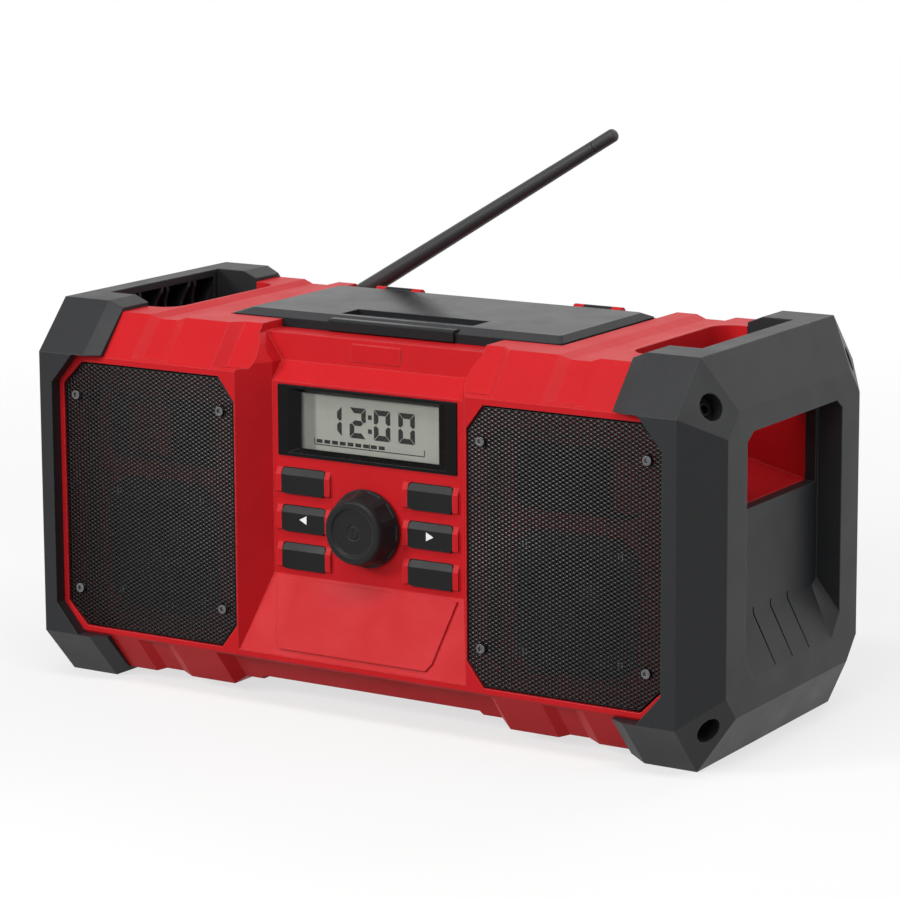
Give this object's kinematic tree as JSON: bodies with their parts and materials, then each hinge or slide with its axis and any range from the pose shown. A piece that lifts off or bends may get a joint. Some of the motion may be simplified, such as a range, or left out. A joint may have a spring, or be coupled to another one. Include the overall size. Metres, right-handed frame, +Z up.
{
  "type": "jobsite radio",
  "caption": "Rugged portable radio with two speaker pods, bumper end caps with carrying grips, lidded storage compartment, folding aerial, keys, tuning knob and rear battery bay.",
  "frame": {"origin": "middle of the footprint, on the surface that the end caps stand on", "axes": "+X to the listener's right along the longest side, +Y to the back, +Z up; the front faces -Y"},
  "size_m": [0.41, 0.194, 0.2912],
  "materials": {
    "casing_red": "satin moulded red",
    "cap_grey": "fine moulded texture",
    "lid_grey": "fine moulded texture",
    "key_grey": "satin",
    "knob_grey": "satin",
    "grille_black": "semi-gloss powder coat",
    "screw_black": "black oxide",
    "steel_pin": "plain steel",
    "encoder_metal": "plated",
    "speaker_gloss": "gloss black",
    "magnet_steel": "dark plated",
    "surround_rubber": "matt",
    "cone_black": "woven paper look",
    "bezel_black": "gloss black",
    "window_clear": "clear",
    "lcd_green": "reflective liquid crystal panel",
    "board_green": "solder mask",
    "soft_rubber": "matt",
    "moulded_black": "satin",
    "terminal_brass": "plated",
    "aerial_rubber": "satin"
  },
  "bodies": {
    "root": {"aux_jack": "moulded_black", "battery_dock": "moulded_black", "battery_terminals": "terminal_brass", "compartment_tray": "moulded_black", "control_board": "board_green", "dc_jack": "moulded_black", "display_bezel": "bezel_black", "display_window": "window_clear", "encoder_body": "encoder_metal", "end_cap_left": "cap_grey", "end_cap_right": "cap_grey", "end_cap_screws": "screw_black", "front_housing": "casing_red", "grille_left": "grille_black", "grille_right": "grille_black", "grille_screws": "screw_black", "housing_screws": "steel_pin", "keypad_mat": "soft_rubber", "lcd_module": "lcd_green", "lid_hinge_pins": "steel_pin", "lid_seal": "soft_rubber", "main_board": "board_green", "rear_housing": "casing_red", "speaker_frame_left": "speaker_gloss", "speaker_frame_right": "speaker_gloss", "speaker_magnet_left": "magnet_steel", "speaker_magnet_right": "magnet_steel", "speaker_screws": "steel_pin", "speaker_surround_left": "surround_rubber", "speaker_surround_right": "surround_rubber", "usb_port": "steel_pin"},
    "lid": {"lid": "lid_grey", "latch_pin": "steel_pin"},
    "latch": {"latch": "lid_grey"},
    "rotor": {"encoder_rotor": "steel_pin"},
    "knob": {"tuning_knob": "knob_grey", "knob_shaft": "steel_pin"},
    "aerial_swivel": {"aerial_base": "moulded_black", "aerial_screw": "steel_pin", "aerial_pin": "steel_pin"},
    "aerial_mast": {"aerial_mast": "aerial_rubber", "aerial_tip": "aerial_rubber"},
    "dc_cover": {"dc_cover": "soft_rubber"},
    "cone_left": {"speaker_cone_left": "cone_black"},
    "cone_right": {"speaker_cone_right": "cone_black"},
    "key_upper_left": {"key_upper_left": "key_grey"},
    "key_upper_right": {"key_upper_right": "key_grey"},
    "key_middle_left": {"key_middle_left": "key_grey"},
    "key_middle_right": {"key_middle_right": "key_grey"},
    "key_lower_left": {"key_lower_left": "key_grey"},
    "key_lower_right": {"key_lower_right": "key_grey"}
  },
  "joints": [
    {"name": "lid_hinge", "type": "hinge", "parent": "root", "child": "lid", "pos_m": [0, 0.057, 0.1974], "axis": [-1, 0, 0], "range_deg": [0, 90]},
    {"name": "latch_pull", "type": "hinge", "parent": "lid", "child": "latch", "pos_m": [0, -0.0448, 0.1969], "axis": [-1, 0, 0], "range_deg": [0, 35], "stiffness_Nm_per_rad": 0.002, "springref_deg": -11.46},
    {"name": "volume_turn", "type": "hinge", "parent": "root", "child": "rotor", "pos_m": [0, -0.087, 0.0989], "axis": [0, -1, 0], "continuous": true},
    {"name": "power_push", "type": "slide", "parent": "rotor", "child": "knob", "axis": [0, 1, 0], "range_m": [0, 0.001], "stiffness_N_per_m": 800, "springref_m": -0.001},
    {"name": "aerial_swivel_turn", "type": "hinge", "parent": "root", "child": "aerial_swivel", "pos_m": [-0.112, 0.08, 0.186], "axis": [0, 0, 1], "range_deg": [0, 90]},
    {"name": "aerial_fold", "type": "hinge", "parent": "aerial_swivel", "child": "aerial_mast", "pos_m": [-0.112, 0.08, 0.186], "axis": [0, -1, 0], "range_deg": [-31, 59]},
    {"name": "dc_cover_hinge", "type": "hinge", "parent": "root", "child": "dc_cover", "pos_m": [0.1086, 0.0914, 0.062], "axis": [0, 0, 1], "range_deg": [0, 110]},
    {"name": "cone_left_throw", "type": "slide", "parent": "root", "child": "cone_left", "axis": [0, 1, 0], "range_m": [-0.001, 0.001], "stiffness_N_per_m": 700},
    {"name": "cone_right_throw", "type": "slide", "parent": "root", "child": "cone_right", "axis": [0, 1, 0], "range_m": [-0.001, 0.001], "stiffness_N_per_m": 700},
    {"name": "key_upper_left_press", "type": "slide", "parent": "root", "child": "key_upper_left", "axis": [0, 1, 0], "range_m": [0, 0.001], "stiffness_N_per_m": 400, "springref_m": -0.001},
    {"name": "key_upper_right_press", "type": "slide", "parent": "root", "child": "key_upper_right", "axis": [0, 1, 0], "range_m": [0, 0.001], "stiffness_N_per_m": 400, "springref_m": -0.001},
    {"name": "key_middle_left_press", "type": "slide", "parent": "root", "child": "key_middle_left", "axis": [0, 1, 0], "range_m": [0, 0.001], "stiffness_N_per_m": 400, "springref_m": -0.001},
    {"name": "key_middle_right_press", "type": "slide", "parent": "root", "child": "key_middle_right", "axis": [0, 1, 0], "range_m": [0, 0.001], "stiffness_N_per_m": 400, "springref_m": -0.001},
    {"name": "key_lower_left_press", "type": "slide", "parent": "root", "child": "key_lower_left", "axis": [0, 1, 0], "range_m": [0, 0.001], "stiffness_N_per_m": 400, "springref_m": -0.001},
    {"name": "key_lower_right_press", "type": "slide", "parent": "root", "child": "key_lower_right", "axis": [0, 1, 0], "range_m": [0, 0.001], "stiffness_N_per_m": 400, "springref_m": -0.001}
  ]
}
